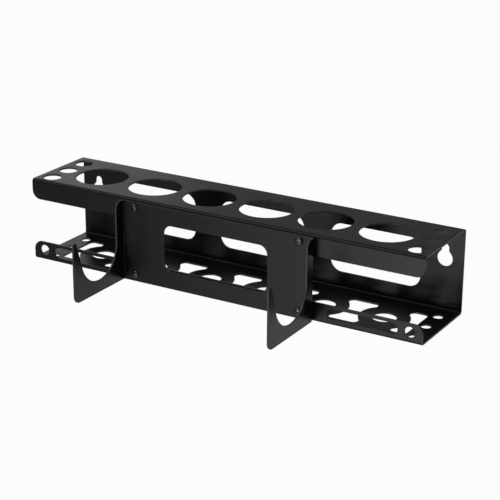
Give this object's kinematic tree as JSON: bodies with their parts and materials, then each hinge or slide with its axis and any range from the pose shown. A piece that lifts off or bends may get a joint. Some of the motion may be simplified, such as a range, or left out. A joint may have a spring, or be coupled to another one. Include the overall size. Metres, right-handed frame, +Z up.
{
  "type": "salon styling station",
  "caption": "Wall rack in bent black sheet metal that stands hair-styling tools in round holes, with a bolted front bracket of open hooks for a dryer or tongs.",
  "frame": {"origin": "on the wall face at mid-length, in the solid band above the back windows, 82 mm above the underside", "axes": "+X along the rack to the viewer's right, +Y into the wall, +Z up"},
  "size_m": [0.48, 0.1903, 0.0943],
  "materials": {
    "powder_coat": "fine satin black powder coat on steel sheet",
    "dark_steel": "black-oxidised steel, slightly oily sheen"
  },
  "bodies": {
    "root": {"rack_channel": "powder_coat", "hook_bracket": "powder_coat", "screw_upper_left": "dark_steel", "screw_upper_right": "dark_steel", "screw_lower_left": "dark_steel", "screw_lower_right": "dark_steel", "washer_upper_left": "dark_steel", "washer_upper_right": "dark_steel", "washer_lower_left": "dark_steel", "washer_lower_right": "dark_steel", "nut_upper_left": "dark_steel", "nut_upper_right": "dark_steel", "nut_lower_left": "dark_steel", "nut_lower_right": "dark_steel"}
  },
  "joints": []
}
